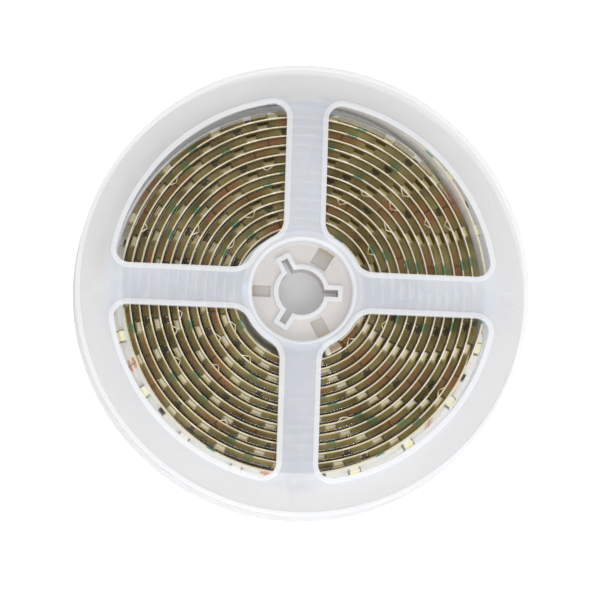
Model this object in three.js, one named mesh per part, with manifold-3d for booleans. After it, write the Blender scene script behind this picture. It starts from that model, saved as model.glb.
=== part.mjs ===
// LED strip light reel: two moulded plastic halves that hold three metres of sleeved LED strip.
// Millimetres. The reel lies on its lower half, its axis is +Z and the spokes run along X and Y.
import * as THREE from 'three';
import { mergeVertices } from 'three/addons/utils/BufferGeometryUtils.js';
import Module from 'manifold-3d';

const wasm = await Module();
wasm.setup();

// LED strip: a flexible board cut in units of three LEDs
const BOARD_WIDTH = 8;
const BOARD_THICKNESS = 0.4;
const UNIT_LENGTH = 50;
const UNIT_COUNT = 60;
const LEDS_PER_UNIT = 3;
const LED_LENGTH = 3.5;
const LED_WIDTH = 2.8;
const LED_HEIGHT = 1.25;
const SOLDER_SINK = 0.08;

// Silicone sleeve round the strip, and the plugs in its ends
const SLEEVE_WALL = 0.2;
const SLEEVE_EDGE_WALL = 0.5;
const SLEEVE_SIDE_ROOM = 0.7;
const STRIP_CLEARANCE = 0.1;
const PLUG_CLEARANCE = 0.1;
const PLUG_STEM_LENGTH = 3;
const PLUG_HEAD_LENGTH = 1.4;
const PLUG_TO_STRIP = 0.6;

// Winding: counter-clockwise seen from above, tight at first, with a loose and wavy last turn
const COIL_START = -62;
const TIGHT_TURNS = 12.68;
const STEPS_PER_TURN = 18;
const TURN_GAP = 0.35;
const SEAT_GAP = 0.3;
const COIL_HEADROOM = 0.8;
const SLUMP_PER_TURN = 0.045;
const SLUMP_DIRECTION = 190;
const LOOSE_HUMPS = [
  { from: 10, to: 135, height: 0.9 },
  { from: 135, to: 348, height: 1.15 },
];

// Reel halves
const REEL_DIAMETER = 127;
const FLANGE_THICKNESS = 1.5;
const RIM_WIDTH = 10.1;
const LIP_WIDTH = 1.3;
const SPOKE_COUNT = 4;
const SPOKE_WIDTH = 11.6;
const WINDOW_INNER_RADIUS = 17.2;
const WINDOW_OUTER_FILLET = 3.8;
const WINDOW_INNER_FILLET = 5.5;
const RIB_WIDTH = 1.5;
const RIB_HEIGHT = 0.5;
const DRUM_RADIUS = 16.6;
const DRUM_JOINT_WALL = 1.5;
const WEB_THICKNESS = 1.5;

// Sunken hub floor with its keyhole. Pockets are placed as seen from inside the reel.
const RECESS_RADIUS = 14;
const RECESS_CHAMFER = 0.9;
const RECESS_DEPTH = 5.2;
const BORE_DIAMETER = 13;
const KEY_SLOT_COUNT = 3;
const KEY_SLOT_WIDTH = 2;
const KEY_SLOT_REACH = 10.3;
const COLLAR_WIDTH = 1.3;
const COLLAR_HEIGHT = 1.2;
const POCKET_DEPTH = 0.7;
const POCKET_GAP = 0.8;
const POCKETS = [
  { direction: 180, width: 3.2 },
  { direction: 60, width: 3.8 },
  { direction: -60, width: 4.8 },
];

// Facets of round outlines
const RIM_SEGMENTS = 36;
const HUB_SEGMENTS = 18;
const BORE_STEPS = 3;
const FILLET_STEPS = 2;
const HALF_WINDOW_INNER_STEPS = 1;
const HALF_WINDOW_OUTER_STEPS = 3;

// Sizes that follow from the ones above
const fullTurn = 2 * Math.PI;
const stepAngle = fullTurn / STEPS_PER_TURN;
const cavityThickness = BOARD_THICKNESS + LED_HEIGHT + 2 * STRIP_CLEARANCE;
const cavityWidth = BOARD_WIDTH + 2 * SLEEVE_SIDE_ROOM;
const sleeveThickness = cavityThickness + 2 * SLEEVE_WALL;
const sleeveWidth = cavityWidth + 2 * SLEEVE_EDGE_WALL;
const turnPitch = sleeveThickness + TURN_GAP;
const firstTurnRadius = DRUM_RADIUS + SEAT_GAP + sleeveThickness / 2;
const boardInside = STRIP_CLEARANCE - cavityThickness / 2;
const boardOutside = boardInside + BOARD_THICKNESS;
const ledPitch = UNIT_LENGTH / LEDS_PER_UNIT;
const flangeInside = RIB_HEIGHT + FLANGE_THICKNESS;
const coilMiddle = flangeInside + SEAT_GAP + sleeveWidth / 2;
const reelWidth = coilMiddle + sleeveWidth / 2 + COIL_HEADROOM + flangeInside;
const rimRadius = REEL_DIAMETER / 2;
const windowOuterRadius = rimRadius - RIM_WIDTH;
const webInside = RECESS_DEPTH + WEB_THICKNESS;
const jointDepth = reelWidth - webInside - SEAT_GAP;
const boreRadius = BORE_DIAMETER / 2;

const milkyPlastic = new THREE.MeshStandardMaterial({ color: 0xe8eaee, roughness: 0.45, metalness: 0 });
const clearSilicone = new THREE.MeshStandardMaterial({ color: 0x9a9270, roughness: 0.3, metalness: 0 });
const paleBoard = new THREE.MeshStandardMaterial({ color: 0xe6dfc4, roughness: 0.5, metalness: 0 });
const plugSilicone = new THREE.MeshStandardMaterial({ color: 0xd9d6c8, roughness: 0.6, metalness: 0 });

// A closed geometry as a solid that can be joined and cut.
function toSolid(geometry) {
  const bare = geometry.index ? geometry.toNonIndexed() : geometry.clone();
  bare.deleteAttribute('normal');
  bare.deleteAttribute('uv');
  const merged = mergeVertices(bare, 1e-4);
  return new wasm.Manifold(new wasm.Mesh({
    numProp: 3,
    vertProperties: new Float32Array(merged.attributes.position.array),
    triVerts: new Uint32Array(merged.index.array),
  }));
}

function toMesh(name, solid, material) {
  const { vertProperties, triVerts } = solid.getMesh();
  const geometry = new THREE.BufferGeometry();
  geometry.setAttribute('position', new THREE.BufferAttribute(vertProperties, 3));
  geometry.setIndex(new THREE.BufferAttribute(triVerts, 1));
  geometry.computeVertexNormals();
  const mesh = new THREE.Mesh(geometry, material);
  mesh.name = name;
  return mesh;
}

function extrudeUp(shape, bottom, top) {
  const geometry = new THREE.ExtrudeGeometry(shape, { depth: top - bottom, bevelEnabled: false });
  return toSolid(geometry.translate(0, 0, bottom));
}

// A body of revolution about Z from (radius, height) pairs, counter-clockwise in that plane.
function revolve(profile) {
  const points = profile.map(([radius, height]) => new THREE.Vector2(radius, height));
  return toSolid(new THREE.LatheGeometry(points, HUB_SEGMENTS).rotateX(Math.PI / 2));
}

function arc(centreX, centreY, radius, from, to, steps) {
  return Array.from({ length: steps + 1 }, (_, index) => {
    const angle = THREE.MathUtils.lerp(from, to, index / steps);
    return new THREE.Vector2(centreX + radius * Math.cos(angle), centreY + radius * Math.sin(angle));
  });
}

// Winding: angles are in radians and run on past a full turn.

const coilStart = THREE.MathUtils.degToRad(COIL_START);

function windingRadius(angle) {
  const turns = (angle - coilStart) / fullTurn;
  const looseDegrees = (turns - TIGHT_TURNS) * 360;
  const humps = LOOSE_HUMPS.filter(({ from, to }) => looseDegrees > from && looseDegrees < to);
  const bulge = humps.reduce((sum, { from, to, height }) => (
    sum + height * Math.sin(Math.PI * (looseDegrees - from) / (to - from)) ** 2
  ), 0);
  return firstTurnRadius + turnPitch * turns + bulge;
}

function windingPoint(angle, outward = 0) {
  const slump = SLUMP_PER_TURN * (angle - coilStart) / fullTurn;
  const slumpDirection = THREE.MathUtils.degToRad(SLUMP_DIRECTION);
  const radius = windingRadius(angle) + outward;
  return new THREE.Vector3(
    radius * Math.cos(angle) + slump * Math.cos(slumpDirection),
    radius * Math.sin(angle) + slump * Math.sin(slumpDirection),
    coilMiddle,
  );
}

// A point of the faceted winding, which is straight between corners at the same directions in
// every turn.
function facetPoint(angle, outward = 0) {
  const corner = Math.floor(angle / stepAngle);
  const start = windingPoint(corner * stepAngle, outward);
  const end = windingPoint((corner + 1) * stepAngle, outward);
  return start.lerp(end, angle / stepAngle - corner);
}

// The angle that lies a length further along the board from a given angle.
function advance(angle, length) {
  const pieces = Math.ceil(Math.abs(length));
  let reached = angle;
  for (let piece = 0; piece < pieces; piece += 1) {
    reached += length / pieces / (windingRadius(reached) + boardInside);
  }
  return reached;
}

// The faceted winding between two angles.
class Winding extends THREE.Curve {
  constructor(from, to) {
    super();
    this.angles = [from];
    const firstCorner = Math.ceil(from / stepAngle + 0.01);
    const lastCorner = Math.floor(to / stepAngle - 0.01);
    for (let corner = firstCorner; corner <= lastCorner; corner += 1) {
      this.angles.push(corner * stepAngle);
    }
    this.angles.push(to);
  }

  get stepCount() {
    return this.angles.length - 1;
  }

  getUtoTmapping(u) {
    return u;
  }

  getPoint(t) {
    const index = Math.min(Math.floor(t * this.stepCount), this.stepCount - 1);
    const along = t * this.stepCount - index;
    return facetPoint(THREE.MathUtils.lerp(this.angles[index], this.angles[index + 1], along));
  }
}

// A rectangle across the winding, between two distances outward from its middle.
function crossSection(width, inside, outside) {
  return [
    new THREE.Vector2(-width / 2, -outside),
    new THREE.Vector2(width / 2, -outside),
    new THREE.Vector2(width / 2, -inside),
    new THREE.Vector2(-width / 2, -inside),
  ];
}

function wind(outline, from, to, bore = null) {
  const shape = new THREE.Shape(outline);
  if (bore) {
    shape.holes.push(new THREE.Path(bore));
  }
  const path = new Winding(from, to);
  return toSolid(new THREE.ExtrudeGeometry(shape, { steps: path.stepCount, extrudePath: path }));
}

const sleeveOutline = crossSection(sleeveWidth, -sleeveThickness / 2, sleeveThickness / 2);
const cavityOutline = crossSection(cavityWidth, -cavityThickness / 2, cavityThickness / 2);
const boardStart = advance(coilStart, PLUG_STEM_LENGTH + PLUG_TO_STRIP);
const boardEnd = advance(boardStart, UNIT_LENGTH * UNIT_COUNT);
const sleeveEnd = advance(boardEnd, PLUG_TO_STRIP + PLUG_STEM_LENGTH);

function led(angle) {
  const start = facetPoint(advance(angle, -LED_LENGTH / 2), boardOutside);
  const end = facetPoint(advance(angle, LED_LENGTH / 2), boardOutside);
  const forward = end.clone().sub(start).normalize();
  const down = new THREE.Vector3(0, 0, -1);
  const outward = new THREE.Vector3().crossVectors(down, forward);
  const height = LED_HEIGHT + SOLDER_SINK;
  const middle = start.lerp(end, 0.5).addScaledVector(outward, LED_HEIGHT - height / 2);
  const placement = new THREE.Matrix4().makeBasis(forward, outward, down).setPosition(middle);
  return toSolid(new THREE.BoxGeometry(LED_LENGTH, height, LED_WIDTH).applyMatrix4(placement));
}

function ledStrip() {
  let strip = wind(crossSection(BOARD_WIDTH, boardInside, boardOutside), boardStart, boardEnd);
  let angle = advance(boardStart, ledPitch / 2);
  for (let count = 0; count < UNIT_COUNT * LEDS_PER_UNIT; count += 1) {
    strip = strip.add(led(angle));
    angle = advance(angle, ledPitch);
  }
  return strip;
}

// A plug whose stem sits in the sleeve's end and whose head closes it. Side is 1 at the outer end.
function endPlug(sleeveTip, side) {
  const stemTip = advance(sleeveTip, -side * PLUG_STEM_LENGTH);
  const headStart = advance(sleeveTip, side * PLUG_CLEARANCE);
  const headEnd = advance(headStart, side * PLUG_HEAD_LENGTH);
  const stemRoot = (headStart + headEnd) / 2;
  const stemHalf = cavityThickness / 2 - PLUG_CLEARANCE;
  const stemOutline = crossSection(cavityWidth - 2 * PLUG_CLEARANCE, -stemHalf, stemHalf);
  const stem = wind(stemOutline, Math.min(stemTip, stemRoot), Math.max(stemTip, stemRoot));
  const head = wind(sleeveOutline, Math.min(headStart, headEnd), Math.max(headStart, headEnd));
  return stem.add(head);
}

// One fan-shaped window between two spokes, its outline grown outward by a margin.
function windowOutline(margin) {
  const middle = Math.PI / SPOKE_COUNT;
  const side = SPOKE_WIDTH / 2 - margin;
  const inner = WINDOW_INNER_RADIUS - margin;
  const outer = windowOuterRadius + margin;
  const innerFillet = WINDOW_INNER_FILLET + margin;
  const outerFillet = WINDOW_OUTER_FILLET + margin;
  const innerX = Math.sqrt((inner + innerFillet) ** 2 - (side + innerFillet) ** 2);
  const outerX = Math.sqrt((outer - outerFillet) ** 2 - (side + outerFillet) ** 2);
  const innerTurn = Math.atan2(side + innerFillet, innerX);
  const outerTurn = Math.atan2(side + outerFillet, outerX);
  const firstHalf = [
    ...arc(0, 0, inner, middle, innerTurn, HALF_WINDOW_INNER_STEPS).slice(0, -1),
    ...arc(innerX, side + innerFillet, innerFillet, Math.PI + innerTurn, 1.5 * Math.PI, FILLET_STEPS),
    ...arc(outerX, side + outerFillet, outerFillet, -0.5 * Math.PI, outerTurn, FILLET_STEPS),
    ...arc(0, 0, outer, outerTurn, middle, HALF_WINDOW_OUTER_STEPS).slice(1),
  ];
  const secondHalf = firstHalf.slice(1, -1).reverse().map(({ x, y }) => {
    const angle = 2 * middle - Math.atan2(y, x);
    return new THREE.Vector2(Math.cos(angle), Math.sin(angle)).multiplyScalar(Math.hypot(x, y));
  });
  return [...firstHalf, ...secondHalf];
}

// A disc with the windows, grown by a margin, left out of it.
function windowedDisc(radius, margin) {
  const disc = new THREE.Shape(arc(0, 0, radius, 0, fullTurn, RIM_SEGMENTS).slice(0, -1));
  for (let index = 0; index < SPOKE_COUNT; index += 1) {
    const turn = fullTurn * index / SPOKE_COUNT;
    const centre = new THREE.Vector2();
    const outline = windowOutline(margin).map((point) => point.rotateAround(centre, turn));
    disc.holes.push(new THREE.Path(outline));
  }
  return disc;
}

// The arbor bore with its key slots, grown by a margin.
function keyholeOutline(margin) {
  const radius = boreRadius + margin;
  const halfSlot = KEY_SLOT_WIDTH / 2 + margin;
  const reach = KEY_SLOT_REACH + margin;
  const slotTurn = Math.asin(halfSlot / radius);
  const slotAngle = fullTurn / KEY_SLOT_COUNT;
  const centre = new THREE.Vector2();
  const outline = [];
  for (let index = 0; index < KEY_SLOT_COUNT; index += 1) {
    const third = [
      new THREE.Vector2(reach, -halfSlot),
      new THREE.Vector2(reach, halfSlot),
      ...arc(0, 0, radius, slotTurn, slotAngle - slotTurn, BORE_STEPS),
    ];
    outline.push(...third.map((point) => point.rotateAround(centre, slotAngle * index)));
  }
  return new THREE.Shape(outline);
}

// A pocket in the hub floor that runs out through the drum wall.
function pocket({ direction, width }) {
  const from = boreRadius + COLLAR_WIDTH + POCKET_GAP;
  const to = DRUM_RADIUS + 1;
  const depth = RECESS_DEPTH + POCKET_DEPTH - flangeInside;
  const box = new THREE.BoxGeometry(to - from, width, depth);
  box.translate((from + to) / 2, 0, flangeInside + depth / 2);
  return toSolid(box.rotateZ(THREE.MathUtils.degToRad(direction)));
}

// One moulded half, with its outer face down at height 0 and its half of the drum standing up.
function reelHalf(drumProfile, pockets = []) {
  const cutBelow = -1;
  const plate = extrudeUp(windowedDisc(rimRadius, 0), 0, flangeInside);
  const sunkenFace = extrudeUp(windowedDisc(rimRadius - LIP_WIDTH, RIB_WIDTH), cutBelow, RIB_HEIGHT);
  const chamferEnd = RIB_HEIGHT + RECESS_CHAMFER;
  const recess = revolve([
    [0, cutBelow],
    [RECESS_RADIUS + chamferEnd - cutBelow, cutBelow],
    [RECESS_RADIUS, chamferEnd],
    [RECESS_RADIUS, RECESS_DEPTH],
    [0, RECESS_DEPTH],
  ]);
  const floorMiddle = RECESS_DEPTH + WEB_THICKNESS / 2;
  const collar = extrudeUp(keyholeOutline(COLLAR_WIDTH), RECESS_DEPTH - COLLAR_HEIGHT, floorMiddle);
  const keyhole = extrudeUp(keyholeOutline(0), 0, reelWidth);
  const blank = plate.subtract(sunkenFace).add(revolve(drumProfile)).subtract(recess);
  const bored = blank.add(collar).subtract(keyhole);
  return pockets.reduce((half, size) => half.subtract(pocket(size)), bored);
}

const drumStart = RIB_HEIGHT + FLANGE_THICKNESS / 2;
const socketRadius = DRUM_RADIUS - DRUM_JOINT_WALL;
const spigotRadius = socketRadius - SEAT_GAP;
const spigotBore = spigotRadius - DRUM_JOINT_WALL;

const spigotDrum = [
  [0, drumStart],
  [DRUM_RADIUS, drumStart],
  [DRUM_RADIUS, webInside],
  [spigotRadius, webInside],
  [spigotRadius, jointDepth],
  [spigotBore, jointDepth],
  [spigotBore, webInside],
  [0, webInside],
];

const socketDrum = [
  [0, drumStart],
  [DRUM_RADIUS, drumStart],
  [DRUM_RADIUS, jointDepth],
  [socketRadius, jointDepth],
  [socketRadius, webInside],
  [0, webInside],
];

const reel = new THREE.Group();

const upperHalf = toMesh('upper_reel_half', reelHalf(socketDrum, POCKETS), milkyPlastic);
upperHalf.rotation.x = Math.PI;
upperHalf.position.z = reelWidth;

reel.add(
  toMesh('lower_reel_half', reelHalf(spigotDrum), milkyPlastic),
  upperHalf,
  toMesh('silicone_sleeve', wind(sleeveOutline, coilStart, sleeveEnd, cavityOutline), clearSilicone),
  toMesh('led_strip', ledStrip(), paleBoard),
  toMesh('inner_end_plug', endPlug(coilStart, -1), plugSilicone),
  toMesh('outer_end_plug', endPlug(sleeveEnd, 1), plugSilicone),
);

export default reel;
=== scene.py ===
import math
import bpy
import numpy
from mathutils import Matrix, Vector


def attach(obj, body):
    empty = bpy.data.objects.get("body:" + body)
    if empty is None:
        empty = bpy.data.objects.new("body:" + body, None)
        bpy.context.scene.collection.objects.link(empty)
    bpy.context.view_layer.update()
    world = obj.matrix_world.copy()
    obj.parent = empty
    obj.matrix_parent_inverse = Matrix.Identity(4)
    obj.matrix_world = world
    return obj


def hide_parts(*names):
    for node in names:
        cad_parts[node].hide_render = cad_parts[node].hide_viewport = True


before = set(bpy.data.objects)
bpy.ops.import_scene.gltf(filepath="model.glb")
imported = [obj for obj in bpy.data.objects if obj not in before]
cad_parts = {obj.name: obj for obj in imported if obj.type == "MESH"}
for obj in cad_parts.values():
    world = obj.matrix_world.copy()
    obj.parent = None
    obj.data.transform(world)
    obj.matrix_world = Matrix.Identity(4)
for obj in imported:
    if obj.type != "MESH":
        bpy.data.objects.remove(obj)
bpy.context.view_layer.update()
mm = 0.001
fullTurn = 2 * math.pi
print("frame loaded")


def setMode(mode):
    bpy.ops.object.mode_set(mode=mode)


def pickOnly(*pieces):
    if bpy.context.mode != 'OBJECT':
        setMode('OBJECT')
    bpy.ops.object.select_all(action='DESELECT')
    for piece in pieces:
        piece.select_set(True)
    bpy.context.view_layer.objects.active = pieces[0]


def newObject(name, data):
    piece = bpy.data.objects.new(name, data)
    bpy.context.collection.objects.link(piece)
    return piece


def applyTransform(piece):
    pickOnly(piece)
    bpy.ops.object.transform_apply(location=True, rotation=True, scale=True)


def applyModifier(piece, name):
    pickOnly(piece)
    bpy.ops.object.modifier_apply(modifier=name)


def combine(piece, tool, operation):
    modifier = piece.modifiers.new("combine", 'BOOLEAN')
    modifier.operation = operation
    modifier.solver = 'EXACT'
    modifier.object = tool
    applyModifier(piece, "combine")
    bpy.data.objects.remove(tool)


def roundEdges(piece, width, segments, degrees=None):
    bevel = piece.modifiers.new("round", 'BEVEL')
    bevel.width = width * mm
    bevel.segments = segments
    if degrees:
        bevel.limit_method = 'ANGLE'
        bevel.angle_limit = math.radians(degrees)
    applyModifier(piece, "round")


def joinInto(piece, *others):
    pickOnly(piece, *others)
    bpy.ops.object.join()


def cleanUp(piece, distance=2e-6):
    pickOnly(piece)
    setMode('EDIT')
    bpy.ops.mesh.select_all(action='SELECT')
    bpy.ops.mesh.remove_doubles(threshold=distance)
    bpy.ops.mesh.delete_loose()
    bpy.ops.mesh.select_all(action='SELECT')
    bpy.ops.mesh.normals_make_consistent(inside=False)
    setMode('OBJECT')


def smoothCurvedSides(piece, degrees):
    pickOnly(piece)
    bpy.ops.object.shade_smooth_by_angle(angle=math.radians(degrees))


def place(piece, node, slot, *materials):
    piece.data.materials.clear()
    for material in materials:
        piece.data.materials.append(material)
    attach(piece, "root")
    if node:
        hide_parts(node)


def blockAt(name, low, high):
    size = [(b - a) * mm for a, b in zip(low, high)]
    middle = [(a + b) / 2 * mm for a, b in zip(low, high)]
    bpy.ops.mesh.primitive_cube_add(size=1, location=middle)
    piece = bpy.context.object
    piece.name = name
    piece.scale = size
    applyTransform(piece)
    return piece


# The reel's sizes, in millimetres. Both halves are made lying on their outer face.
reel = {
    "diameter": 127, "width": 15.5, "plateBottom": 0.5, "plateTop": 2.0, "lipWidth": 1.3,
    "steps": 180, "spokeCount": 4, "spokeWidth": 11.6, "windowInner": 17.2, "windowOuter": 53.4,
    "innerFillet": 5.5, "outerFillet": 3.8, "ribWidth": 1.5, "edgeRound": 0.18,
    "drumRadius": 16.6, "drumHeight": 8.5, "webTop": 6.7, "drumWall": 1.5, "seatGap": 0.3,
    "recessRadius": 14.0, "recessRound": 1.1, "recessDepth": 5.2, "recessDraft": 0.1,
    "footWidth": 0.4, "footHeight": 0.3, "flareSink": 0.02,
    "boreRadius": 6.5, "keySlots": 3, "keySlotWidth": 2.0, "keySlotReach": 10.3,
    "keyholeFrom": 0.6, "collarWidth": 1.3, "collarHeight": 1.2, "collarRoot": 0.7,
    "pocketDepth": 0.7, "pocketGap": 0.8, "pocketLip": 0.03,
    "pockets": [(180, 3.2), (60, 3.8), (-60, 4.8)],
    "gateRadius": 58.1, "gateSize": 4.2, "gateDepth": 0.22, "gateSink": 0.012,
}
past = 1  # how far a cutting shape reaches past the face that it cuts


def arc(x, y, radius, start, end, steps):
    return [(x + radius * math.cos(start + (end - start) * i / steps),
             y + radius * math.sin(start + (end - start) * i / steps)) for i in range(steps + 1)]


def turned(points, angle):
    c, s = math.cos(angle), math.sin(angle)
    return [(c * x - s * y, s * x + c * y) for x, y in points]


def circle(radius):
    # Turned a little, off the spun body's own corners.
    return arc(0, 0, radius, 0.01, fullTurn + 0.01, reel["steps"])[:-1]


def windowOutline(margin, index):
    middle = math.pi / reel["spokeCount"]
    side = reel["spokeWidth"] / 2 - margin
    inner = reel["windowInner"] - margin
    outer = reel["windowOuter"] + margin
    innerFillet = reel["innerFillet"] + margin
    outerFillet = reel["outerFillet"] + margin
    innerX = math.sqrt((inner + innerFillet) ** 2 - (side + innerFillet) ** 2)
    outerX = math.sqrt((outer - outerFillet) ** 2 - (side + outerFillet) ** 2)
    innerTurn = math.atan2(side + innerFillet, innerX)
    outerTurn = math.atan2(side + outerFillet, outerX)
    half = (arc(0, 0, inner, middle, innerTurn, 6)[:-1]
            + arc(innerX, side + innerFillet, innerFillet, math.pi + innerTurn, 1.5 * math.pi, 8)
            + arc(outerX, side + outerFillet, outerFillet, -0.5 * math.pi, outerTurn, 8)
            + arc(0, 0, outer, outerTurn, middle, 18)[1:])
    mirrored = [(math.hypot(x, y) * math.cos(2 * middle - math.atan2(y, x)),
                 math.hypot(x, y) * math.sin(2 * middle - math.atan2(y, x))) for x, y in half[1:-1]]
    return turned(half + mirrored[::-1], fullTurn * index / reel["spokeCount"])


def keyhole(margin):
    radius = reel["boreRadius"] + margin
    halfSlot = reel["keySlotWidth"] / 2 + margin
    reach = reel["keySlotReach"] + margin
    slotTurn = math.asin(halfSlot / radius)
    third = fullTurn / reel["keySlots"]
    outline = []
    for index in range(reel["keySlots"]):
        points = [(reach, -halfSlot), (reach, halfSlot)]
        if margin:
            corner = margin / 2
            points = (arc(reach - corner, corner - halfSlot, corner, -math.pi / 2, 0, 4)
                      + arc(reach - corner, halfSlot - corner, corner, 0, math.pi / 2, 4))
        points += arc(0, 0, radius, slotTurn, third - slotTurn, 16)
        outline += turned(points, third * index)
    return outline


def platesFrom(name, outlines, bottom, top):
    # A flat curve, filled and given a thickness, made a mesh.
    flat = bpy.data.curves.new(name, 'CURVE')
    flat.dimensions = '2D'
    flat.fill_mode = 'BOTH'
    for outline in outlines:
        spline = flat.splines.new('POLY')
        spline.points.add(len(outline) - 1)
        for point, (x, y) in zip(spline.points, outline):
            point.co = (x * mm, y * mm, 0, 1)
        spline.use_cyclic_u = True
    flat.extrude = (top - bottom) / 2 * mm
    piece = newObject(name, flat)
    pickOnly(piece)
    bpy.ops.object.convert(target='MESH')
    piece = bpy.context.object
    piece.location.z = (bottom + top) / 2 * mm
    applyTransform(piece)
    cleanUp(piece)
    setMode('EDIT')
    bpy.ops.mesh.dissolve_limited(angle_limit=math.radians(0.5))
    setMode('OBJECT')
    return piece


def turnedBody(name, profile):
    # A profile of (radius, height) pairs spun about Z.
    mesh = bpy.data.meshes.new(name)
    count = len(profile)
    mesh.from_pydata([(r * mm, 0, z * mm) for r, z in profile],
                     [(i, (i + 1) % count) for i in range(count)], [])
    piece = newObject(name, mesh)
    screw = piece.modifiers.new("spin", 'SCREW')
    screw.angle = fullTurn
    screw.steps = screw.render_steps = reel["steps"]
    screw.use_merge_vertices = True
    screw.merge_threshold = 1e-6
    applyModifier(piece, "spin")
    cleanUp(piece)
    return piece


def reelHalf(name, upper):
    r = reel
    radius, sunk, top = r["diameter"] / 2, r["plateBottom"], r["plateTop"]
    drum, wall, web, end = r["drumRadius"], r["drumWall"], r["webTop"], r["drumHeight"]
    socket = drum - wall
    spigot = socket - r["seatGap"]
    recess, rounding, floor = r["recessRadius"], r["recessRound"], r["recessDepth"]
    flare = [(recess + rounding * (1 - math.cos(a)),
              sunk - r["flareSink"] + rounding * (1 - math.sin(a)))
             for a in [math.pi / 2 * i / 6 for i in range(7)]]
    profile = [(0, floor), (recess - r["footWidth"], floor),
               (recess - r["recessDraft"], floor - r["footHeight"])] + flare
    profile += [(flare[-1][0], 0), (radius, 0), (radius, top), (drum, top)]
    if upper:
        profile += [(drum, end), (socket, end), (socket, web), (0, web)]
    else:
        profile += [(drum, web), (spigot, web), (spigot, end),
                    (spigot - wall, end), (spigot - wall, web), (0, web)]
    half = turnedBody(name, profile)

    windows = [windowOutline(0, i) for i in range(r["spokeCount"])]
    sunkFace = [circle(radius - r["lipWidth"])]
    sunkFace += [windowOutline(r["ribWidth"], i) for i in range(r["spokeCount"])]
    collar, bore = [keyhole(r["collarWidth"])], [keyhole(0)]
    for label, outlines, bottom, height, operation in (
            ("windows", windows, -past, top + past, 'DIFFERENCE'),
            ("sunkFace", sunkFace, -past, sunk, 'DIFFERENCE'),
            ("collar", collar, floor - r["collarHeight"], floor + r["collarRoot"], 'UNION'),
            ("keyhole", bore, r["keyholeFrom"], r["width"], 'DIFFERENCE')):
        combine(half, platesFrom(label, outlines, bottom, height), operation)

    if upper:
        for direction, width in r["pockets"]:
            start = r["boreRadius"] + r["collarWidth"] + r["pocketGap"]
            pocket = blockAt("pocket", (start, -width / 2, top + r["pocketLip"]),
                             (drum + past, width / 2, floor + r["pocketDepth"]))
            pocket.rotation_euler.z = math.radians(direction)
            applyTransform(pocket)
            combine(half, pocket, 'DIFFERENCE')
        # The gate's dimple, on the spoke that points along +X.
        bpy.ops.mesh.primitive_uv_sphere_add(
            segments=32, ring_count=16, radius=r["gateSize"] / 2 * mm,
            location=(r["gateRadius"] * mm, 0, (sunk - r["gateSink"]) * mm))
        gate = bpy.context.object
        gate.scale.z = r["gateDepth"] / (r["gateSize"] / 2)
        applyTransform(gate)
        combine(half, gate, 'DIFFERENCE')
        half.rotation_euler.x = math.pi
        half.location.z = r["width"] * mm
        applyTransform(half)
    cleanUp(half, 5e-6)
    roundEdges(half, r["edgeRound"], 2, 50)
    smoothCurvedSides(half, 30)
    return half


# The winding is the CAD part's, but its last turn springs further out past the right spoke and
# leans. Hump and lift are in degrees along the loose turn, with the distance outwards.
winding = {
    "start": -62, "tightTurns": 12.68, "firstRadius": 18.025, "pitch": 2.6,
    "slumpPerTurn": 0.045, "slumpTowards": 190, "middle": 7.5,
    "hump": (10, 135, 0.9), "lift": (188, 252, 2.5), "boardLine": -0.825, "step": 1.5, "spare": 2,
    "leans": [(-12, 0), (6, -0.24), (60, -0.16), (150, -0.12), (180, 0.26), (215, 0.2), (250, 0)],
}


def looseTurn(angle):
    # Degrees along the loose turn, below 0 while the winding is still tight.
    return math.degrees(angle) - winding["start"] - winding["tightTurns"] * 360


def leanAt(angle):
    # How far the strip's top edge leans outwards, for each millimetre of height.
    loose = looseTurn(angle)
    table = winding["leans"]
    for (a, low), (b, high) in zip(table, table[1:]):
        if a <= loose < b:
            return low + (high - low) * (loose - a) / (b - a)
    return 0.0


def windingRadius(angle):
    turns = (angle - math.radians(winding["start"])) / fullTurn
    loose = looseTurn(angle)
    bulge = 0
    start, end, height = winding["hump"]
    if start < loose < end:
        bulge += height * math.sin(math.pi * (loose - start) / (end - start)) ** 2
    start, end, height = winding["lift"]
    share = min(1, max(0, (loose - start) / (end - start)))
    bulge += height * share * share * (3 - 2 * share)
    return winding["firstRadius"] + winding["pitch"] * turns + bulge


def windingPoint(angle, outward=0.0):
    slump = winding["slumpPerTurn"] * (angle - math.radians(winding["start"])) / fullTurn
    towards = math.radians(winding["slumpTowards"])
    radius = windingRadius(angle) + outward
    return Vector((radius * math.cos(angle) + slump * math.cos(towards),
                   radius * math.sin(angle) + slump * math.sin(towards), winding["middle"])) * mm


def advance(angle, length):
    pieces = max(1, math.ceil(abs(length)))
    for _ in range(pieces):
        angle += length / pieces / (windingRadius(angle) + winding["boardLine"])
    return angle


def windingPath(name, start, length):
    # The line that the strip's board follows from an angle on, and how the strip leans along it.
    points = [windingPoint(start, winding["boardLine"])]
    lengths, leans = [0.0], [leanAt(start)]
    travelled, angle, step = 0.0, start, math.radians(winding["step"])
    while travelled < length + winding["spare"]:
        angle += step
        points.append(windingPoint(angle, winding["boardLine"]))
        travelled += (points[-1] - points[-2]).length / mm
        lengths.append(travelled)
        leans.append(leanAt(angle))
    path = bpy.data.curves.new(name, 'CURVE')
    path.dimensions = '2D'
    spline = path.splines.new('POLY')
    spline.points.add(len(points) - 1)
    for point, co in zip(spline.points, points):
        point.co = (co.x, co.y, 0, 1)
    return newObject(name, path), lengths, leans


def lengthwiseMap(piece):
    # Before it is bent, a strip's map is its own length and height in metres.
    uv = piece.data.uv_layers.get("strip") or piece.data.uv_layers.new(name="strip")
    for loop in piece.data.loops:
        co = piece.data.vertices[loop.vertex_index].co
        uv.data[loop.index].uv = (co.x, co.z)
    across = piece.data.attributes.new("across", 'FLOAT', 'POINT')
    across.data.foreach_set("value", [v.co.y / mm for v in piece.data.vertices])


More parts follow.
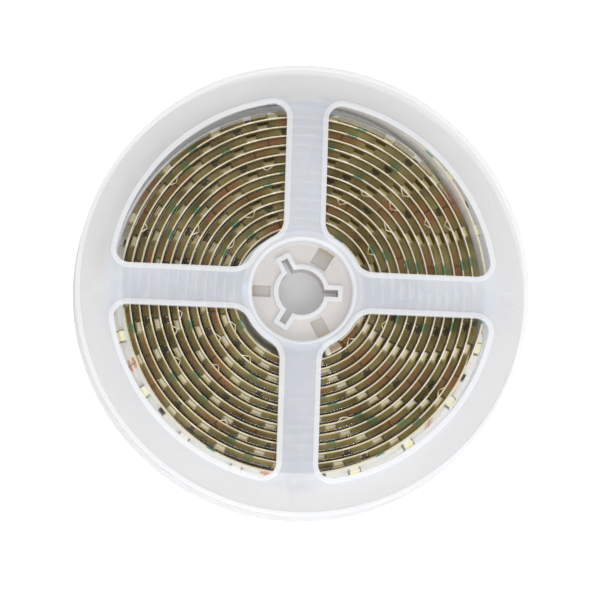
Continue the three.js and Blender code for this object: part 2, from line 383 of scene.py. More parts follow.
def bend(piece, route):
    path, lengths, leans = route
    lengthwiseMap(piece)
    spots = numpy.empty(len(piece.data.vertices) * 3)
    piece.data.vertices.foreach_get("co", spots)
    spots = spots.reshape(-1, 3)
    spots[:, 1] -= spots[:, 2] * numpy.interp(spots[:, 0] / mm, lengths, leans)
    piece.data.vertices.foreach_set("co", spots.ravel())
    curve = piece.modifiers.new("bend", 'CURVE')
    curve.object = path
    curve.deform_axis = 'POS_X'
    applyModifier(piece, "bend")
    piece.data.transform(Matrix.Translation((0, 0, winding["middle"] * mm)))


def repeat(piece, pitch, count, merge=False):
    array = piece.modifiers.new("repeat", 'ARRAY')
    array.use_relative_offset = False
    array.use_constant_offset = True
    array.constant_offset_displace = (pitch * mm, 0, 0)
    array.count = count
    array.use_merge_vertices = merge
    array.merge_threshold = 1e-6
    applyModifier(piece, "repeat")


# The strip and its sleeve lie straight along X at first: -Y is the side of the LEDs and outwards.
strip = {
    "unit": 50, "units": 60, "boardWidth": 8.0, "boardInside": 0.14, "boardThickness": 0.3,
    "boardCuts": 31, "plugToStrip": 0.6, "sink": 0.01,
    "ledPlaces": (8.33, 25.0, 41.67), "ledLength": 3.1, "ledWidth": 3.6, "ledHeight": 1.35,
    "ledSink": 0.02, "ledRound": 0.12, "phosphor": 0.45, "phosphorInset": 0.08,
    "phosphorSink": 0.03, "phosphorRound": 0.1,
    "legFrom": 0.1, "legReach": 0.16, "legHeight": 1.5, "legInset": (0.35, 0.3),
    "resistorPlace": 15.7, "chip": (2.2, 1.6, 0.75), "chipTop": 3.2, "capWidth": 0.4,
    "capProud": 0.04, "capOver": 0.05, "padRadius": 1.5, "padHeights": (-2.2, 2.2),
    "padThickness": 0.05, "padShift": 0.9, "trackPlace": 33.0,
    "cutWidth": 0.28, "cutHeight": 3.9, "cutProud": 0.04, "cutEdge": 0.02,
}
sleeve = {
    "wallInside": -0.3, "wallOutside": 2.27, "height": 10.4, "wall": 0.14, "edgeWall": 0.5,
    "round": 0.5, "innerRound": 0.3, "segment": 2.0,
}
plug = {"stem": 3.0, "headGap": 0.1, "head": 1.4, "clearance": 0.06, "headRound": 0.35}


def openTubeSegment(name, outer, inner, length):
    # Two loops across the strip, joined lengthwise over one short segment.
    verts, faces = [], []
    for loop in (outer, inner):
        base, count = len(verts), len(loop)
        for x in (0, length * mm):
            verts += [(x, -y * mm, z * mm) for y, z in loop]
        for i in range(count):
            j = (i + 1) % count
            faces.append((base + i, base + j, base + count + j, base + count + i))
    mesh = bpy.data.meshes.new(name)
    mesh.from_pydata(verts, [], faces)
    return newObject(name, mesh)


def roundedLoop(inside, outside, halfHeight, rounding, steps):
    loop = []
    for y, z, start in ((outside - rounding, halfHeight - rounding, 0),
                        (inside + rounding, halfHeight - rounding, 90),
                        (inside + rounding, -halfHeight + rounding, 180),
                        (outside - rounding, -halfHeight + rounding, 270)):
        loop += arc(y, z, rounding, math.radians(start), math.radians(start + 90), steps)
    return loop


def closeEnds(piece, ends):
    # Bridges the outer and inner loop at each open end.
    for x in ends:
        pickOnly(piece)
        setMode('EDIT')
        bpy.ops.mesh.select_all(action='DESELECT')
        setMode('OBJECT')
        for v in piece.data.vertices:
            v.select = abs(v.co.x - x * mm) < 1e-5
        setMode('EDIT')
        bpy.ops.mesh.select_mode(type='EDGE')
        bpy.ops.mesh.bridge_edge_loops()
        setMode('OBJECT')


def buildSleeve(path, length):
    s = sleeve
    outer = roundedLoop(s["wallInside"], s["wallOutside"], s["height"] / 2, s["round"], 5)
    inner = roundedLoop(s["wallInside"] + s["wall"], s["wallOutside"] - s["wall"],
                        s["height"] / 2 - s["edgeWall"], s["innerRound"], 2)
    count = round(length / s["segment"])
    segment = length / count
    tube = openTubeSegment("silicone_tube", outer, inner, segment)
    repeat(tube, segment, count, merge=True)
    closeEnds(tube, (0, length))
    cleanUp(tube)
    bend(tube, path)
    smoothCurvedSides(tube, 40)
    return tube


def buildBoard(path):
    # One unit without end faces, cut lengthwise into short steps, then repeated and closed.
    s = strip
    board = blockAt("strip_board", (0, -s["boardThickness"], -s["boardWidth"] / 2),
                    (s["unit"], s["boardInside"], s["boardWidth"] / 2))
    pickOnly(board)
    setMode('EDIT')
    bpy.ops.mesh.select_mode(type='FACE')
    bpy.ops.mesh.select_all(action='DESELECT')
    setMode('OBJECT')
    for poly in board.data.polygons:
        poly.select = abs(poly.normal.x) > 0.9
    setMode('EDIT')
    bpy.ops.mesh.delete(type='ONLY_FACE')
    bpy.ops.mesh.select_mode(type='EDGE')
    bpy.ops.mesh.select_all(action='DESELECT')
    setMode('OBJECT')
    for edge in board.data.edges:
        a, b = (board.data.vertices[i].co for i in edge.vertices)
        edge.select = abs(a.x - b.x) > 1e-6
    setMode('EDIT')
    bpy.ops.mesh.subdivide(number_cuts=s["boardCuts"])
    setMode('OBJECT')
    repeat(board, s["unit"], s["units"], merge=True)
    pickOnly(board)
    setMode('EDIT')
    bpy.ops.mesh.select_all(action='DESELECT')
    bpy.ops.mesh.select_mode(type='EDGE')
    bpy.ops.mesh.select_non_manifold()
    bpy.ops.mesh.edge_face_add()
    setMode('OBJECT')
    cleanUp(board)
    bend(board, path)
    return board


def repeatUnits(path, pieces):
    # One unit's pieces, by name, are repeated over the strip and bent along it.
    for name, piece in pieces:
        piece.name = name
        repeat(piece, strip["unit"], strip["units"])
        bend(piece, path)
    return [piece for _, piece in pieces]


def ledUnits(path):
    s = strip
    face = -s["boardThickness"]
    front = face - s["ledHeight"]
    split = front + s["phosphor"]
    half, wide, inset = s["ledLength"] / 2, s["ledWidth"] / 2, s["phosphorInset"]
    bodies, phosphors, legs = [], [], []
    for x in s["ledPlaces"]:
        bodies.append(blockAt("led_bodies", (x - half, split, -wide),
                              (x + half, face + s["ledSink"], wide)))
        phosphors.append(blockAt("led_phosphors", (x - half + inset, front, -wide + inset),
                                 (x + half - inset, split + s["phosphorSink"], wide - inset)))
        for side in (-1, 1):
            low, high = sorted((x + side * (half - s["legFrom"]),
                                x + side * (half + s["legReach"])))
            legs.append(blockAt("led_legs", (low, face - s["legHeight"], -wide + s["legInset"][0]),
                                (high, face + s["sink"], wide - s["legInset"][1])))
    for group, rounding in ((bodies, s["ledRound"]), (phosphors, s["phosphorRound"]), (legs, 0)):
        joinInto(*group)
        if rounding:
            roundEdges(group[0], rounding, 1)
    return repeatUnits(path, (("led_bodies", bodies[0]), ("led_phosphors", phosphors[0]),
                              ("led_legs", legs[0])))


def smallParts(path):
    s = strip
    face = -s["boardThickness"]
    root = face + s["sink"]
    x, cap, over = s["resistorPlace"], s["capWidth"], s["capOver"]
    long, tall, proud = s["chip"]
    half, bottom = long / 2, s["chipTop"] - tall
    chip = blockAt("resistors", (x - half + cap, face - proud, bottom),
                   (x + half - cap, root, bottom + tall))
    caps = [blockAt("resistor_ends", (x + a, face - proud - s["capProud"], bottom - over),
                    (x + b, root, bottom + tall + over))
            for a, b in ((-half, cap - half), (half - cap, half))]
    joinInto(*caps)
    pads = []
    for end, side in ((0, 1), (s["unit"], -1)):
        for height in s["padHeights"]:
            middle = end + side * s["cutWidth"] * s["padShift"]
            outline = [(middle + side * s["padRadius"] * math.cos(a),
                        height + s["padRadius"] * math.sin(a))
                       for a in [math.pi * (i / 8 - 0.5) for i in range(9)]]
            pad = platesFrom("solder_pads", [outline], 0, s["padThickness"])
            pad.data.transform(Matrix.Rotation(math.pi / 2, 4, 'X'))
            pad.data.transform(Matrix.Translation((0, root * mm, 0)))
            pads.append(pad)
    joinInto(*pads)
    edge, reach = s["cutEdge"], s["cutWidth"] / 2
    cuts = [blockAt("cut_marks", (low, face - s["cutProud"], -s["cutHeight"]),
                    (high, root, s["cutHeight"]))
            for low, high in ((edge, reach), (s["unit"] - reach, s["unit"] - edge))]
    joinInto(*cuts)
    return repeatUnits(path, (("resistors", chip), ("resistor_ends", caps[0]),
                              ("solder_pads", pads[0]), ("cut_marks", cuts[0])))


def endPlug(name, tip, side, path):
    # Tip is the sleeve's end, and side is 1 where the plug's head lies further on.
    s, p = sleeve, plug
    inside = s["wallInside"] + s["wall"] + p["clearance"]
    outside = s["wallOutside"] - s["wall"] - p["clearance"]
    tall = s["height"] / 2 - s["edgeWall"] - p["clearance"]
    near, far = sorted((tip + side * p["headGap"], tip + side * (p["headGap"] + p["head"])))
    low, high = sorted((tip - side * p["stem"], tip + side * (p["headGap"] + p["head"] / 2)))
    stem = blockAt(name, (low, -outside, -tall), (high, -inside, tall))
    head = blockAt(name, (near, -s["wallOutside"], -s["height"] / 2),
                   (far, -s["wallInside"], s["height"] / 2))
    for part in (stem, head):
        roundEdges(part, p["headRound"], 3)
    combine(stem, head, 'UNION')
    cleanUp(stem)
    smoothCurvedSides(stem, 35)
    bend(stem, path)
    return stem


# Folds of the tape behind the board. Places are in millimetres along the board.
buckle = {
    "length": 3.2, "lengthSpread": 0.15, "skew": 0.25, "depth": 1.15, "depthSpread": 0.18,
    "thickness": 0.17, "slant": 1.6, "foot": 0.3, "low": 2.9, "high": 4.02,
    "places": (119, 211, 283, 330, 366, 413, 478, 518, 623, 795, 897, 1009, 1064, 1089,
               1220, 1259, 1319, 1379, 1570, 1697, 1708, 1852, 2245, 2338, 2354, 2494),
}


def tapeBuckles(path):
    # Each fold stands off the board as a thin tent, a little different from the last.
    b, inside = buckle, strip["boardInside"]
    folds = []
    for index, along in enumerate(b["places"]):
        half = b["length"] / 2 * (1 + b["lengthSpread"] * math.sin(2.3 * index))
        peak = along + b["skew"] * half * math.cos(1.7 * index)
        depth = b["depth"] * (1 + b["depthSpread"] * math.cos(3.1 * index))
        outer = [(along - half, inside), (peak, inside + depth), (along + half, inside)]
        inner = [(along + half - b["foot"], inside),
                 (peak, inside + depth - b["thickness"] * b["slant"]),
                 (along - half + b["foot"], inside)]
        folds.append(platesFrom("tape_buckles", [outer + inner], b["low"], b["high"]))
    joinInto(*folds)
    bend(folds[0], path)
    return folds[0]


def newNode(tree, kind, settings=None, inputs=None):
    made = tree.nodes.new(kind)
    for key, value in (settings or {}).items():
        setattr(made, key, value)
    for key, value in (inputs or {}).items():
        if isinstance(value, bpy.types.NodeSocket):
            tree.links.new(value, made.inputs[key])
        else:
            made.inputs[key].default_value = value
    return made


def maths(tree, operation, *values):
    return newNode(tree, 'ShaderNodeMath', {"operation": operation},
                   dict(enumerate(values))).outputs[0]


def product(tree, first, *others):
    for other in others:
        first = maths(tree, 'MULTIPLY', first, other)
    return first


def ramp(tree, value, start, end, low=0.0, high=1.0):
    inputs = {"Value": value, "From Min": start, "From Max": end, "To Min": low, "To Max": high}
    return newNode(tree, 'ShaderNodeMapRange', None, inputs).outputs["Result"]


def blend(tree, factor, first, second):
    inputs = {0: factor}
    for index, colour in ((6, first), (7, second)):
        inputs[index] = colour if isinstance(colour, bpy.types.NodeSocket) else (*colour, 1)
    return newNode(tree, 'ShaderNodeMix', {"data_type": 'RGBA'}, inputs).outputs[2]


def newGroup(name, inputs, outputs):
    group = bpy.data.node_groups.new(name, 'ShaderNodeTree')
    for label, kind in inputs:
        group.interface.new_socket(name=label, in_out='INPUT', socket_type=kind)
    for label in outputs:
        group.interface.new_socket(name=label, in_out='OUTPUT', socket_type='NodeSocketFloat')
    return group, group.nodes.new('NodeGroupInput'), group.nodes.new('NodeGroupOutput')


# A broad uneven tone and a fine grain, used by every finish.
uneven = {"detail": 3.0, "range": (0.3, 0.7), "grainDetail": 2.0, "grainScale": 11.0,
          "grainHeight": 0.0002}
unevenTone, given, result = newGroup(
    "unevenTone", [("Position", 'NodeSocketVector'), ("Scale", 'NodeSocketFloat')],
    ["Tone", "Grain"])
spot, coarse = given.outputs["Position"], given.outputs["Scale"]
broad = newNode(unevenTone, 'ShaderNodeTexNoise', None,
                {"Vector": spot, "Scale": coarse, "Detail": uneven["detail"]})
finer = product(unevenTone, coarse, uneven["grainScale"])
grain = newNode(unevenTone, 'ShaderNodeTexNoise', None,
                {"Vector": spot, "Scale": finer, "Detail": uneven["grainDetail"]})
unevenTone.links.new(ramp(unevenTone, broad.outputs[0], *uneven["range"]), result.inputs["Tone"])
unevenTone.links.new(grain.outputs[0], result.inputs["Grain"])

# Masks along the strip, in millimetres from its start: LEDs and their ends, cut lines, resistors
# and lacquered track.
stations, given, result = newGroup("stripStations", [("Along", 'NodeSocketFloat')],
                                   ["Led", "LedEnd", "Cut", "Tick", "Resistor", "Track"])


def distanceFrom(value, spot):
    return maths(stations, 'ABSOLUTE', maths(stations, 'SUBTRACT', value, spot))


along = given.outputs["Along"]
spacing = strip["unit"] / len(strip["ledPlaces"])
fromLed = distanceFrom(maths(stations, 'FLOORED_MODULO', along, spacing), spacing / 2)
inUnit = maths(stations, 'FLOORED_MODULO', along, float(strip["unit"]))
fromCut = maths(stations, 'SUBTRACT', strip["unit"] / 2, distanceFrom(inUnit, strip["unit"] / 2))
stationMasks = {
    "Led": (fromLed, 1.6, 1.4), "LedEnd": (fromLed, 1.0, 1.4),
    "Cut": (fromCut, 5.5, 2.5), "Tick": (fromCut, 0.3, 0.2),
    "Resistor": (distanceFrom(inUnit, strip["resistorPlace"]), 1.4, 1.0),
    "Track": (distanceFrom(inUnit, strip["trackPlace"]), 1.7, 1.1),
}
for label, (distance, start, end) in stationMasks.items():
    stations.links.new(ramp(stations, distance, start, end), result.inputs[label])


def startFinish(name, dark, light, scale, roughness, bump):
    # The part that every finish shares: uneven colour and gloss, and a fine grain in the surface.
    material = bpy.data.materials.new(name)
    material.use_nodes = True
    tree = material.node_tree
    shader = tree.nodes["Principled BSDF"]
    position = newNode(tree, 'ShaderNodeTexCoord').outputs["Object"]
    tone = newNode(tree, 'ShaderNodeGroup', {"node_tree": unevenTone},
                   {"Position": position, "Scale": scale}).outputs
    colour = blend(tree, tone["Tone"], dark, light)
    tree.links.new(colour, shader.inputs["Base Color"])
    tree.links.new(ramp(tree, tone["Tone"], 0, 1, *roughness), shader.inputs["Roughness"])
    relief = newNode(tree, 'ShaderNodeBump', None,
                     {"Strength": bump, "Distance": uneven["grainHeight"],
                      "Height": tone["Grain"]})
    tree.links.new(relief.outputs["Normal"], shader.inputs["Normal"])
    return material, tree, shader, tone, colour


def stripPlaces(tree, startsAt=0.0):
    # Where a point lies along, up and across its strip, in millimetres, and the masks there.
    mapped = newNode(tree, 'ShaderNodeUVMap', {"uv_map": "strip"}).outputs["UV"]
    split = newNode(tree, 'ShaderNodeSeparateXYZ', None, {0: mapped}).outputs
    lengthwise = maths(tree, 'MULTIPLY_ADD', split[0], 1 / mm, -startsAt)
    masks = newNode(tree, 'ShaderNodeGroup', {"node_tree": stations}, {"Along": lengthwise})
    places = {mask.name: mask for mask in masks.outputs}
    places["lengthwise"] = lengthwise
    places["height"] = maths(tree, 'MULTIPLY', split[1], 1 / mm)
    across = newNode(tree, 'ShaderNodeAttribute', {"attribute_name": "across"})
    places["across"] = across.outputs["Fac"]
    return places


def looseMask(tree, lengthwise, start, fade=20):
    return ramp(tree, lengthwise, start - fade, start + fade)


def lighterShadow(tree, alpha, share):
    # Thin plastic scatters light onwards, so its shadow is paler than it looks.
    rays = newNode(tree, 'ShaderNodeLightPath').outputs
    return product(tree, alpha, ramp(tree, rays["Is Shadow Ray"], 0, 1, 1.0, share))


# hubFloor, pocket and pocketEnd are painted shade of the hub's recess, flare is a painted highlight
# on its rounded edge, and drum is painted shade near the drum.
milkyLook = {
    "panel": ((0.7, 0.735, 0.8), (0.74, 0.775, 0.835)), "rim": (0.735, 0.735, 0.745),
    "rib": (0.87, 0.88, 0.9), "hubFloor": (0.7, 0.665, 0.64), "collar": (0.78, 0.785, 0.8),
    "flare": (0.82, 0.83, 0.85), "pocket": (0.52, 0.48, 0.44), "pocketEnd": (0.55, 0.42, 0.26),
    "drum": (0.6, 0.5, 0.3), "hubShare": 0.94, "alpha": (0.52, 0.58), "ribAlpha": 0.66,
    "ringAlpha": 0.74, "hubAlpha": 0.88, "roughness": (0.34, 0.46), "bump": 0.12, "scale": 45.0,
    "shadow": 0.3,
}
# Where the reel's tones start and end, in metres from its axis or from its middle.
milkyBands = {
    "rib": (0.00728, 0.00745), "raised": (0.0027, 0.003), "sunk": (0.0023, 0.002),
    "hub": (0.0141, 0.0138), "hubRing": (0.0172, 0.0165), "rim": (0.053, 0.056),
    "pocketEnd": (0.0124, 0.0138), "flareIn": (0.0138, 0.0141), "flareOut": (0.0153, 0.0149),
    "drumIn": (0.0152, 0.016), "drumOut": (0.024, 0.019), "lowerHalf": (0.001, -0.001),
    "innerFace": (0.0061, 0.0058),
}


def milkyPlastic():
    # Heights are taken from the reel's middle, so that both halves share the finish.
    look = milkyLook
    material, tree, shader, tone, colour = startFinish(
        "milky_plastic", *look["panel"], look["scale"], look["roughness"], look["bump"])
    position = newNode(tree, 'ShaderNodeTexCoord').outputs["Object"]
    split = newNode(tree, 'ShaderNodeSeparateXYZ', None, {0: position}).outputs
    height = maths(tree, 'SUBTRACT', split["Z"], reel["width"] / 2 * mm)
    fromMiddle = maths(tree, 'ABSOLUTE', height)
    flat = newNode(tree, 'ShaderNodeCombineXYZ', None, {"X": split["X"], "Y": split["Y"]})
    fromAxis = newNode(tree, 'ShaderNodeVectorMath', {"operation": 'LENGTH'},
                       {0: flat.outputs[0]}).outputs["Value"]

    def band(name, distance=fromAxis):
        return ramp(tree, distance, *milkyBands[name])

    rib, hub = band("rib", fromMiddle), band("hub")
    # Painted highlight: the recess's rounded edge, the flare, is painted lighter, as where its
    # rounding catches the light.
    flare = product(tree, band("flareOut"), band("flareIn"))
    # Painted shade: the lower half's inner side near the drum is painted brown, as shade and in
    # place of coil turns that are not modelled there.
    paintedDrumShade = product(tree, band("drumIn"), band("drumOut"), band("lowerHalf", height),
                        band("innerFace", fromMiddle))
    # Painted shade: the recess floor is darker and warmer than the raised collar, and the pockets
    # are darker still and browner at their outer ends, where the brown also stands in for the
    # sleeve seen there.
    pocket = blend(tree, band("pocketEnd"), look["pocket"], look["pocketEnd"])
    hubColour = blend(tree, band("raised", fromMiddle), look["hubFloor"], look["collar"])
    hubColour = blend(tree, band("sunk", fromMiddle), hubColour, pocket)
    for mask, tint in ((band("rim"), look["rim"]), (rib, look["rib"]), (flare, look["flare"]),
                       (product(tree, hub, look["hubShare"]), hubColour),
                       (paintedDrumShade, look["drum"])):
        colour = blend(tree, mask, colour, tint)
    tree.links.new(colour, shader.inputs["Base Color"])
    alpha = ramp(tree, tone["Tone"], 0, 1, *look["alpha"])
    for mask, level in ((rib, look["ribAlpha"]), (band("hubRing"), look["ringAlpha"]),
                        (flare, look["hubAlpha"]),
                        (maths(tree, 'MAXIMUM', hub, paintedDrumShade), look["hubAlpha"])):
        step = product(tree, mask, maths(tree, 'SUBTRACT', level, alpha))
        alpha = maths(tree, 'ADD', alpha, step)
    tree.links.new(lighterShadow(tree, alpha, look["shadow"]), shader.inputs["Alpha"])
    return material


# deep is a painted shade, laid with baseAlpha on the sleeve's foot; the same dark also darkens the
# sleeve over each cut line.
siliconeLook = {
    "olive": ((0.09, 0.06, 0.012), (0.36, 0.29, 0.11)), "stain": (0.3, 0.1, 0.04),
    "track": (0.01, 0.14, 0.07), "trackShare": 0.25, "deep": (0.06, 0.04, 0.015),
    "tickShare": 0.8, "topAlpha": 0.4, "clearAlpha": 0.07, "ledAlpha": 0.09, "wallAlpha": 0.05,
    "baseAlpha": 0.96, "looseAlpha": 0.04, "looseFrom": 2652, "roughness": (0.06, 0.12),
    "bump": 0.06, "scale": 90.0, "shadow": 0.05, "specular": 0.3, "gloss": (0.07, 0.07, 0.07),
    "glossRoughness": 0.14,
}
# Where the sleeve's looks start and end, in millimetres across the strip or up from its middle.
siliconeBands = {
    "frontFrom": (-0.26, -0.36), "frontTo": (-1.85, -1.65), "deep": (-4.0, -4.4),
    "base": (-4.2, -4.6), "aboveLed": (-1.5, 0), "top": (3.9, 4.5),
    "cornerFrom": (4.78, 4.95), "cornerTo": (5.195, 5.17),
}


def clearSilicone():
    # Olive over the board's front, painted shade at its foot, and nearly clear elsewhere.
    look, bands = siliconeLook, siliconeBands
    material, tree, shader, tone, colour = startFinish(
        "clear_silicone", *look["olive"], look["scale"], look["roughness"], look["bump"])
    shader.inputs["Specular IOR Level"].default_value = look["specular"]
    at = stripPlaces(tree, plug["stem"] + strip["plugToStrip"])
    height, across = at["height"], at["across"]
    for mask, tint in ((product(tree, at["Cut"], tone["Tone"]), look["stain"]),
                       (product(tree, at["Track"], look["trackShare"]), look["track"]),
                       (product(tree, at["Tick"], look["tickShare"]), look["deep"]),
                       (ramp(tree, height, *bands["deep"]), look["deep"])):
        colour = blend(tree, mask, colour, tint)
    tree.links.new(colour, shader.inputs["Base Color"])

    overFront = product(tree, ramp(tree, across, *bands["frontFrom"]),
                        ramp(tree, across, *bands["frontTo"]))
    top = ramp(tree, overFront, 0, 1, look["clearAlpha"], look["topAlpha"])
    top = product(tree, ramp(tree, height, *bands["top"]),
                  maths(tree, 'SUBTRACT', top, look["wallAlpha"]))
    alpha = maths(tree, 'ADD', top, look["wallAlpha"])
    # Painted shade: the foot is made nearly opaque in that dark colour.
    alpha = maths(tree, 'ADD', alpha, ramp(tree, height, *bands["base"], 0,
                                           look["baseAlpha"] - look["wallAlpha"]))
    overPart = product(tree, maths(tree, 'MAXIMUM', at["Led"], at["Resistor"]),
                       ramp(tree, height, *bands["aboveLed"]))
    alpha = product(tree, alpha, ramp(tree, overPart, 0, 1, 1, look["ledAlpha"] / look["topAlpha"]))
    loose = looseMask(tree, at["lengthwise"], look["looseFrom"])
    alpha = maths(tree, 'MINIMUM', alpha, ramp(tree, loose, 0, 1, 1, look["looseAlpha"]))
    tree.links.new(lighterShadow(tree, alpha, look["shadow"]), shader.inputs["Alpha"])

    # A little gloss of its own on the rounded corners at the top.
    corner = product(tree, ramp(tree, height, *bands["cornerFrom"]),
                     ramp(tree, height, *bands["cornerTo"]))
    gloss = newNode(tree, 'ShaderNodeBsdfGlossy', None,
                    {"Color": blend(tree, corner, (0, 0, 0), look["gloss"]),
                     "Roughness": look["glossRoughness"]})
    both = newNode(tree, 'ShaderNodeAddShader', None, {0: shader.outputs[0], 1: gloss.outputs[0]})
    tree.links.new(both.outputs[0], tree.nodes["Material Output"].inputs["Surface"])
    return material


# face and back are painted shade for the tight turns; looseFace and looseBack are the board's own
# colours.
boardLook = {
    "face": ((0.48, 0.42, 0.2), (0.68, 0.6, 0.34)), "edge": ((0.72, 0.6, 0.34), (0.95, 0.87, 0.66)),
    "back": ((0.1, 0.06, 0.012), (0.24, 0.15, 0.04)), "track": (0.02, 0.25, 0.12),
    "trackShare": 0.9, "looseFace": (0.97, 0.97, 0.92), "looseBack": (0.93, 0.92, 0.93),
    "looseFrom": 2650, "roughness": (0.35, 0.55), "bump": 0.15, "scale": 220.0,
    "edgeBand": (3.96, 3.99), "backBand": (0.06, 0.02),
}


def stripBoard():
    # In the tight turns the board's face and back are painted darker and yellow-brown: painted
    # shade of the narrow gaps between turns, while the loose turn keeps the board's own white.
    look = boardLook
    material, tree, shader, tone, colour = startFinish(
        "strip_board", *look["face"], look["scale"], look["roughness"], look["bump"])
    at = stripPlaces(tree)
    loose = looseMask(tree, at["lengthwise"], look["looseFrom"])
    edge = ramp(tree, maths(tree, 'ABSOLUTE', at["height"]), *look["edgeBand"])
    back = ramp(tree, at["across"], *(strip["boardInside"] - depth for depth in look["backBand"]))
    edgeColour = blend(tree, tone["Grain"], *look["edge"])
    edgeColour = blend(tree, product(tree, at["Track"], look["trackShare"]), edgeColour,
                       look["track"])
    face = blend(tree, loose, colour, look["looseFace"])
    backColour = blend(tree, loose, blend(tree, tone["Tone"], *look["back"]), look["looseBack"])
    colour = blend(tree, back, face, backColour)
    tree.links.new(blend(tree, edge, colour, edgeColour), shader.inputs["Base Color"])
    return material


ledLook = {
    "body": ((0.9, 0.87, 0.77), (0.99, 0.97, 0.92)), "bodyRoughness": (0.3, 0.5), "bodyBump": 0.1,
    "bodyScale": 500.0, "marks": (0.4, 0.37, 0.3), "markBand": (0.62, 0.7), "markShare": 0.6,
    "ends": (0.3, 0.26, 0.18), "endBand": (0.2, 0.8), "endShare": (0.2, 0.8),
    "phosphor": ((0.6, 0.42, 0.04), (0.85, 0.68, 0.16)), "phosphorRoughness": (0.25, 0.45),
    "phosphorBump": 0.2, "phosphorScale": 600.0, "loosePhosphor": (0.97, 0.92, 0.5),
}


def ledBody():
    look = ledLook
    material, tree, shader, tone, colour = startFinish(
        "led_body", *look["body"], look["bodyScale"], look["bodyRoughness"], look["bodyBump"])
    spots = ramp(tree, tone["Grain"], *look["markBand"])
    colour = blend(tree, product(tree, spots, look["markShare"]), colour, look["marks"])
    share = ramp(tree, tone["Tone"], *look["endBand"], *look["endShare"])
    ends = product(tree, stripPlaces(tree)["LedEnd"], share)
    tree.links.new(blend(tree, ends, colour, look["ends"]), shader.inputs["Base Color"])
    return material


def ledPhosphor():
    look = ledLook
    material, tree, shader, _, colour = startFinish(
        "led_phosphor", *look["phosphor"], look["phosphorScale"], look["phosphorRoughness"],
        look["phosphorBump"])
    # Painted shade: in the tight turns the phosphor is painted a darker mustard, while the loose
    # turn keeps its own pale yellow.
    loose = looseMask(tree, stripPlaces(tree)["lengthwise"], boardLook["looseFrom"])
    tree.links.new(blend(tree, loose, colour, look["loosePhosphor"]), shader.inputs["Base Color"])
    return material


# Finishes without masks: dark and light colour, scale, roughness, bump and share of metal.
plainLooks = {
    "tin": ((0.1, 0.09, 0.07), (0.4, 0.38, 0.34), 900.0, (0.25, 0.5), 0.3, 0.8),
    "resistor_black": ((0.012, 0.012, 0.014), (0.04, 0.04, 0.045), 700.0, (0.3, 0.5), 0.2, 0.0),
    "copper_pads": ((0.7, 0.28, 0.12), (0.95, 0.55, 0.32), 450.0, (0.3, 0.5), 0.2, 0.1),
    "plug_silicone": ((0.62, 0.58, 0.46), (0.8, 0.77, 0.67), 300.0, (0.4, 0.6), 0.3, 0.0),
    "tape_edge": ((0.8, 0.66, 0.38), (1.0, 0.93, 0.72), 700.0, (0.3, 0.5), 0.2, 0.0),
}


def plainFinish(name):
    *look, metal = plainLooks[name]
    material, _, shader, _, _ = startFinish(name, *look)
    shader.inputs["Metallic"].default_value = metal
    return material


milky, silicone, boardFinish = milkyPlastic(), clearSilicone(), stripBoard()
ledWhite, ledYellow = ledBody(), ledPhosphor()
tin, black, copper, plugRubber, tapeFinish = (plainFinish(name) for name in plainLooks)
print("materials ready")

upperHalf = reelHalf("reel_half_upper", True)
print("upper half", len(upperHalf.data.polygons))
lowerHalf = reelHalf("reel_half_lower", False)
print("lower half", len(lowerHalf.data.polygons))
place(upperHalf, "upper_reel_half", "milky_plastic", milky)
place(lowerHalf, "lower_reel_half", "milky_plastic", milky)

stripLength = strip["unit"] * strip["units"]
coilStart = math.radians(winding["start"])
lead = plug["stem"] + strip["plugToStrip"]
boardStart = advance(coilStart, lead)
sleeveLength = stripLength + 2 * lead
plugReach = plug["headGap"] + plug["head"]
boardPath = windingPath("boardPath", boardStart, stripLength)
sleevePath = windingPath("sleevePath", coilStart, sleeveLength)
plugPath = windingPath("plugPath", advance(coilStart, -plugReach), sleeveLength + 2 * plugReach)

tube = buildSleeve(sleevePath, sleeveLength)
print("sleeve", len(tube.data.polygons))
board = buildBoard(boardPath)
print("board", len(board.data.polygons))
ledPieces = ledUnits(boardPath)
smallPieces = smallParts(boardPath)
innerPlug = endPlug("plug_inner", plugReach, -1, plugPath)
outerPlug = endPlug("plug_outer", plugReach + sleeveLength, 1, plugPath)
tape = tapeBuckles(boardPath)
for route in (boardPath, sleevePath, plugPath):
    bpy.data.objects.remove(route[0])

place(tube, "silicone_sleeve", "clear_silicone", silicone)
place(board, "led_strip", "strip_board", boardFinish)
for piece, material in zip(ledPieces, (ledWhite, ledYellow, tin)):
    place(piece, None, "strip_board", material)
for piece, material in zip(smallPieces, (black, tin, copper, black)):
    place(piece, None, "strip_board", material)
place(tape, None, "strip_board", tapeFinish)
place(innerPlug, "inner_end_plug", "plug_silicone", plugRubber)
place(outerPlug, "outer_end_plug", "plug_silicone", plugRubber)
print("strip built")

# The pad's colour and its weaker glow paint shade under the hub.
stage = {
    "floorSize": 3.0, "floorDrop": 0.05, "floorColour": (0.9, 0.9, 0.9), "floorGlow": 0.35,
    "pad": 0.016, "padEdge": 0.002, "padShadeColour": (0.72, 0.71, 0.72), "padShadeGlow": 0.4,
    "worldStrength": 0.64,
}
view = {
    "distance": 1.6, "tilt": 9.26, "azimuth": -118.4, "roll": 2.41, "scale": 3569,
    "centre": (300.45, 293.84), "height": 7.75, "picture": 600, "sensor": 36,
}

bpy.ops.mesh.primitive_plane_add(size=stage["floorSize"], location=(0, 0, -stage["floorDrop"] * mm))
floor = bpy.context.object
floor.name = "floor"
floorMaterial = bpy.data.materials.new("floor_white")
floorMaterial.use_nodes = True
floorTree = floorMaterial.node_tree
shader = floorTree.nodes["Principled BSDF"]
shader.inputs["Roughness"].default_value = 1.0
spot = newNode(floorTree, 'ShaderNodeTexCoord').outputs["Object"]
fromMiddle = newNode(floorTree, 'ShaderNodeVectorMath', {"operation": 'LENGTH'},
                     {0: spot}).outputs["Value"]
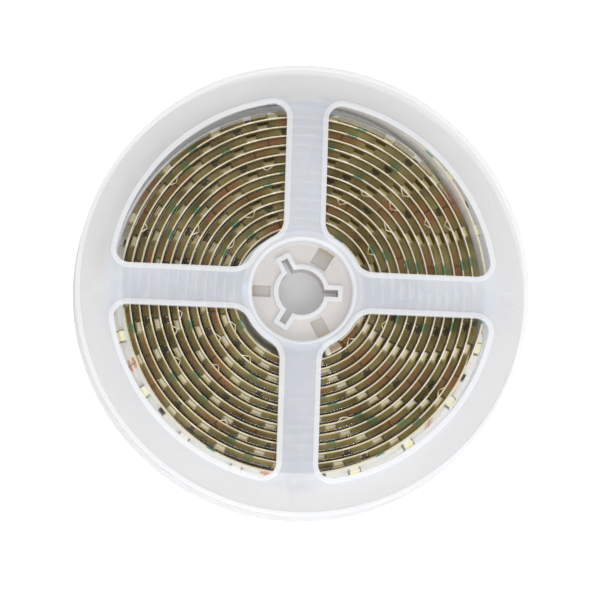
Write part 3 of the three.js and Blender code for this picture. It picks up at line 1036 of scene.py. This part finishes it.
# A grey pad under the hub is painted shade: it stands for the table's shadow under the bore.
onShadePad = ramp(floorTree, fromMiddle, stage["pad"] + stage["padEdge"], stage["pad"])
floorTree.links.new(blend(floorTree, onShadePad, stage["floorColour"], stage["padShadeColour"]),
                    shader.inputs["Base Color"])
# The floor's glow shows to the camera and in reflections, and adds no diffuse light.
shader.inputs["Emission Color"].default_value = (1, 1, 1, 1)
rays = newNode(floorTree, 'ShaderNodeLightPath').outputs
seen = maths(floorTree, 'MAXIMUM', rays["Is Camera Ray"], rays["Is Glossy Ray"])
seen = maths(floorTree, 'MAXIMUM', seen, rays["Is Transmission Ray"])
level = ramp(floorTree, onShadePad, 0, 1, stage["floorGlow"], stage["floorGlow"] * stage["padShadeGlow"])
floorTree.links.new(product(floorTree, seen, level), shader.inputs["Emission Strength"])
floor.data.materials.append(floorMaterial)

world = bpy.data.worlds.new("studio")
bpy.context.scene.world = world
world.use_nodes = True
background = world.node_tree.nodes["Background"]
background.inputs["Color"].default_value = (1, 1, 1, 1)
background.inputs["Strength"].default_value = stage["worldStrength"]

lamps = [
    {"name": "main", "azimuth": -88, "elevation": 50, "distance": 0.5, "size": 0.4, "power": 1.3},
    {"name": "front", "azimuth": -60, "elevation": 48, "distance": 0.9, "size": 0.07, "power": 0.4},
    {"name": "left", "azimuth": 142, "elevation": 50, "distance": 0.9, "size": 0.07, "power": 0.3},
    {"name": "right", "azimuth": 25, "elevation": 50, "distance": 0.9, "size": 0.07, "power": 0.3},
    {"name": "back", "azimuth": 53, "elevation": 50, "distance": 0.9, "size": 0.07, "power": 0.3},
]
for lamp in lamps:
    azimuth, elevation = math.radians(lamp["azimuth"]), math.radians(lamp["elevation"])
    direction = Vector((math.cos(azimuth) * math.cos(elevation),
                        math.sin(azimuth) * math.cos(elevation), math.sin(elevation)))
    light = bpy.data.lights.new(lamp["name"], 'AREA')
    light.shape = 'DISK'
    light.size = lamp["size"]
    light.energy = lamp["power"]
    lightObject = newObject(lamp["name"], light)
    lightObject.location = direction * lamp["distance"]
    lightObject.rotation_euler = direction.to_track_quat('Z', 'Y').to_euler()

# The camera looks at the reel's middle as the photo does: scale is in pixels for each metre, and
# centre is the pixel where that middle lies.
camera = bpy.data.cameras.new("camera")
cameraObject = newObject("camera", camera)
bpy.context.scene.camera = cameraObject
tilt, azimuth, roll = (math.radians(view[k]) for k in ("tilt", "azimuth", "roll"))
back = Vector((math.sin(tilt) * math.cos(azimuth), math.sin(tilt) * math.sin(azimuth),
               math.cos(tilt)))
flatX = (Vector((1, 0, 0)) - back * back.x).normalized()
flatY = back.cross(flatX)
right = flatX * math.cos(roll) + flatY * math.sin(roll)
up = flatY * math.cos(roll) - flatX * math.sin(roll)
target = Vector((0, 0, view["height"] * mm))
middle = view["picture"] / 2
aim = (target + right * ((middle - view["centre"][0]) / view["scale"])
       + up * ((view["centre"][1] - middle) / view["scale"]))
cameraObject.matrix_world = Matrix.Translation(aim + back * view["distance"]) @ Matrix(
    (right, up, back)).transposed().to_4x4()
camera.sensor_width = view["sensor"]
camera.lens = view["scale"] * view["distance"] * view["sensor"] / view["picture"]
scene = bpy.context.scene
scene.view_settings.view_transform = 'Standard'
scene.cycles.transparent_max_bounces = 16
print("stage and camera ready")
